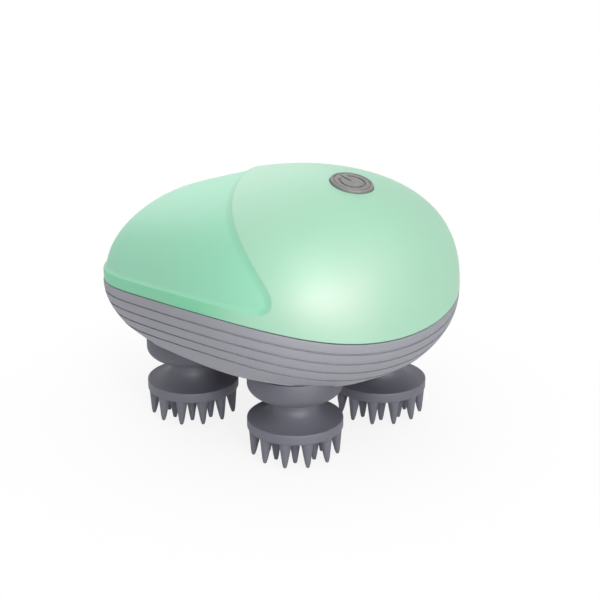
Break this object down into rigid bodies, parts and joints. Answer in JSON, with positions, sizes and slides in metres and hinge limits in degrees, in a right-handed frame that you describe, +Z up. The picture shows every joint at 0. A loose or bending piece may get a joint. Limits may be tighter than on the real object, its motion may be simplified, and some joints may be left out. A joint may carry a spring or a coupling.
{
  "type": "electric scalp massager",
  "caption": "Palm-sized electric scalp massager with a domed two-tone shell, a round power button and geared heads of soft nodes that turn together.",
  "frame": {"origin": "below the middle of the body, on the plane that the node tips rest on", "axes": "+X towards the nose with the power button, +Y across the body, +Z up from the nodes to the dome"},
  "size_m": [0.1244, 0.1014, 0.0893],
  "materials": {
    "mint_plastic": "satin mint",
    "mint_panel": "satin mint, set a little deeper",
    "button_grey": "fine matt grey",
    "seal_rubber": "matt black",
    "grey_plastic": "matt light grey with fine texture",
    "slate_plastic": "matt dark slate",
    "silicone": "soft dark slate silicone",
    "bronze": "sintered bronze",
    "light_plastic": "plain moulded",
    "gear_plastic": "natural acetal",
    "steel": "ground steel",
    "motor_can": "drawn can",
    "brass": "turned brass",
    "battery_wrap": "shrink wrap",
    "circuit_board": "solder mask",
    "black_plastic": "moulded black",
    "flap_rubber": "soft grey"
  },
  "bodies": {
    "housing": {"front_cover": "mint_plastic", "palm_panel": "mint_panel", "button_seal": "seal_rubber", "lower_shell": "grey_plastic", "shell_gasket": "seal_rubber", "shaft_bushes": "bronze", "shaft_seals": "seal_rubber", "base_plate": "light_plastic", "centre_pin": "steel", "idler_pin": "steel", "top_plate": "light_plastic", "motor": "motor_can", "motor_screws": "steel", "plate_screws": "steel", "case_screws": "steel", "battery_pad": "seal_rubber", "battery": "battery_wrap", "control_board": "circuit_board", "tact_switch": "black_plastic", "board_screws": "steel", "charge_port": "steel", "charge_board": "circuit_board", "head_socket_1": "slate_plastic", "head_socket_2": "slate_plastic", "head_socket_3": "slate_plastic", "head_socket_4": "slate_plastic"},
    "head_1": {"massage_head_1": "silicone", "head_hub_1": "light_plastic", "output_shaft_1": "steel", "output_gear_1": "gear_plastic"},
    "head_2": {"massage_head_2": "silicone", "head_hub_2": "light_plastic", "output_shaft_2": "steel", "output_gear_2": "gear_plastic"},
    "head_3": {"massage_head_3": "silicone", "head_hub_3": "light_plastic", "output_shaft_3": "steel", "output_gear_3": "gear_plastic"},
    "head_4": {"massage_head_4": "silicone", "head_hub_4": "light_plastic", "output_shaft_4": "steel", "output_gear_4": "gear_plastic"},
    "centre": {"centre_gear": "gear_plastic"},
    "idler": {"idler_gear": "gear_plastic"},
    "rotor": {"motor_pinion": "brass"},
    "button": {"power_button": "button_grey"},
    "flap": {"port_flap": "flap_rubber"}
  },
  "joints": [
    {"name": "head_1_spin", "type": "hinge", "parent": "housing", "child": "head_1", "pos_m": [0.0295, -0.0219, 0.03], "axis": [0, 0, 1], "continuous": true},
    {"name": "head_2_spin", "type": "hinge", "parent": "housing", "child": "head_2", "pos_m": [0.0295, 0.0219, 0.03], "axis": [0, 0, 1], "continuous": true},
    {"name": "head_3_spin", "type": "hinge", "parent": "housing", "child": "head_3", "pos_m": [-0.0185, 0.0219, 0.03], "axis": [0, 0, 1], "continuous": true},
    {"name": "head_4_spin", "type": "hinge", "parent": "housing", "child": "head_4", "pos_m": [-0.0185, -0.0219, 0.03], "axis": [0, 0, 1], "continuous": true},
    {"name": "centre_spin", "type": "hinge", "parent": "housing", "child": "centre", "pos_m": [0.0055, 0, 0.045], "axis": [0, 0, 1], "continuous": true},
    {"name": "idler_spin", "type": "hinge", "parent": "housing", "child": "idler", "pos_m": [-0.01425, 0, 0.05], "axis": [0, 0, 1], "continuous": true},
    {"name": "rotor_spin", "type": "hinge", "parent": "housing", "child": "rotor", "pos_m": [0.0055, 0, 0.056], "axis": [0, 0, 1], "continuous": true},
    {"name": "button_press", "type": "slide", "parent": "housing", "child": "button", "axis": [-0.2282, 0, -0.9736], "range_m": [0, 0.0006], "stiffness_N_per_m": 1500, "springref_m": -0.0004},
    {"name": "flap_hinge", "type": "hinge", "parent": "housing", "child": "flap", "pos_m": [-0.06214, 0, 0.04175], "axis": [0, 1, 0], "range_deg": [0, 100]}
  ],
  "couplings": [
    {"joint": "head_2_spin", "follows": "head_1_spin", "ratio": 1},
    {"joint": "head_3_spin", "follows": "head_1_spin", "ratio": 1},
    {"joint": "head_4_spin", "follows": "head_1_spin", "ratio": 1},
    {"joint": "centre_spin", "follows": "head_1_spin", "ratio": -1.1667},
    {"joint": "idler_spin", "follows": "head_1_spin", "ratio": 2.5},
    {"joint": "rotor_spin", "follows": "head_1_spin", "ratio": -9.2857}
  ]
}
